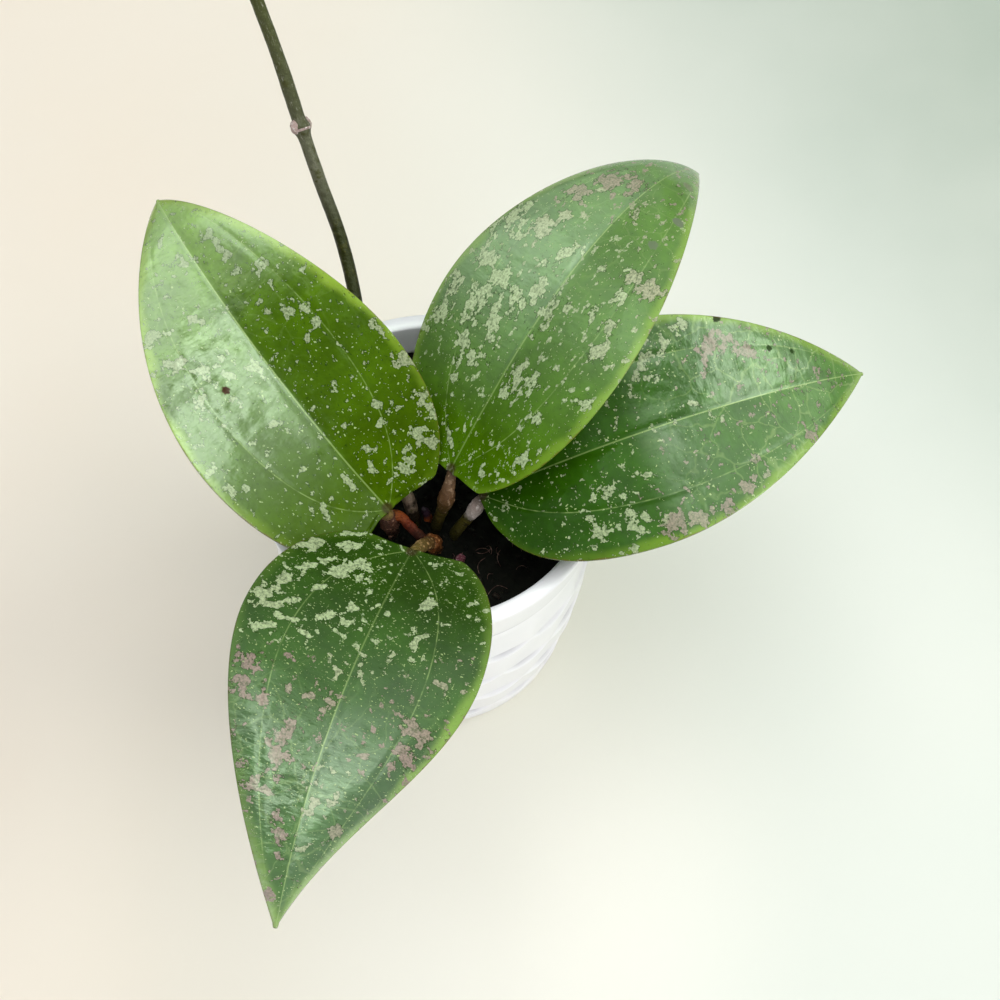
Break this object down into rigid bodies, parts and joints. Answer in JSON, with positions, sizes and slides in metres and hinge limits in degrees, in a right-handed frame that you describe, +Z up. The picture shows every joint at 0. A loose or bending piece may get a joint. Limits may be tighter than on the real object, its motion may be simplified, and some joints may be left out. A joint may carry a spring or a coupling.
{
  "type": "potted hoya plant",
  "caption": "Hoya house plant with large arched silver-flecked leaves and one long shoot, growing in a round white ceramic pot with a carved wall.",
  "frame": {"origin": "middle of the pot's flat base, on the surface that the pot stands on", "axes": "+Z up along the pot's axis; -Y towards the front leaf; +X towards the right leaf"},
  "size_m": [0.2106, 0.2574, 0.1785],
  "materials": {
    "glazed_pot": "satin white glaze",
    "potting_soil": "dark bark and coir mix",
    "leaf": "waxy, green with silver flecks",
    "petiole": "corky tan",
    "green_stem": "smooth yellow-green bark",
    "woody_stem": "rough red-brown bark",
    "vine": "smooth dark olive bark",
    "bud": "soft pink shoot"
  },
  "bodies": {
    "root": {"pot": "glazed_pot", "soil": "potting_soil", "stem_main": "woody_stem", "stem_back": "green_stem", "stem_right": "green_stem", "petiole_left": "petiole", "leaf_left": "leaf", "petiole_back": "petiole", "leaf_back": "leaf", "petiole_right": "petiole", "leaf_right": "leaf", "petiole_front": "petiole", "leaf_front": "leaf", "vine": "vine", "stub_old": "woody_stem", "bud": "bud"}
  },
  "joints": []
}
